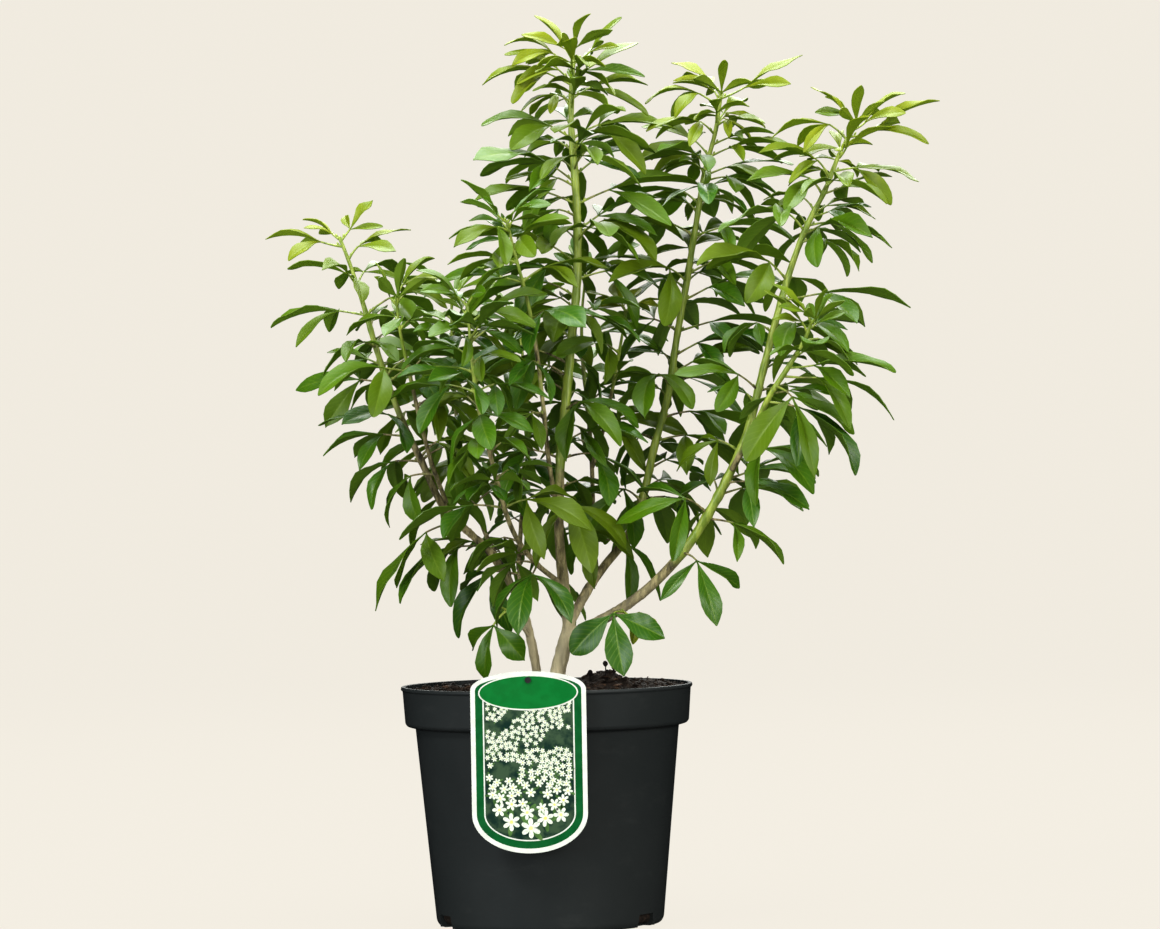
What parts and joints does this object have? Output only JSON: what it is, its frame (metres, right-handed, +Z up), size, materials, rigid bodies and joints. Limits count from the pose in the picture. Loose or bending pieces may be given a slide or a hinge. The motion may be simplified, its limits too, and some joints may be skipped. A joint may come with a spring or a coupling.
{
  "type": "potted mexican orange",
  "caption": "Young evergreen shrub with glossy leaves of three leaflets on branching stems, in a round dark plastic nursery pot with a hanging label.",
  "frame": {"origin": "centre of the pot's flat underside", "axes": "+Z up along the pot's axis; the front, where the label hangs, faces -Y; +X is to the right seen from the front"},
  "size_m": [0.4401, 0.2605, 0.5928],
  "materials": {
    "anthracite_plastic": "satin",
    "potting_soil": "matte",
    "grey_brown_bark": "matte",
    "green_foliage": "satin",
    "label_card": "satin",
    "black_plastic": "satin"
  },
  "bodies": {
    "root": {"pot": "anthracite_plastic", "soil": "potting_soil", "main_trunk": "grey_brown_bark", "second_trunk": "grey_brown_bark", "plant_label": "label_card", "label_clip": "black_plastic", "leafy_stem_leader": "green_foliage", "leafy_stem_middle": "green_foliage", "leafy_stem_right": "green_foliage", "leafy_stem_right_low": "green_foliage", "leafy_stem_inner_right": "green_foliage", "leafy_stem_inner_low": "green_foliage", "leafy_stem_front_left": "green_foliage", "leafy_stem_centre_left": "green_foliage", "leafy_stem_far_left": "green_foliage", "leafy_stem_left_front": "green_foliage", "leafy_stem_left_back": "green_foliage", "leafy_stem_centre_back": "green_foliage", "leafy_stem_low_right": "green_foliage", "leafy_stem_low_left": "green_foliage"}
  },
  "joints": []
}
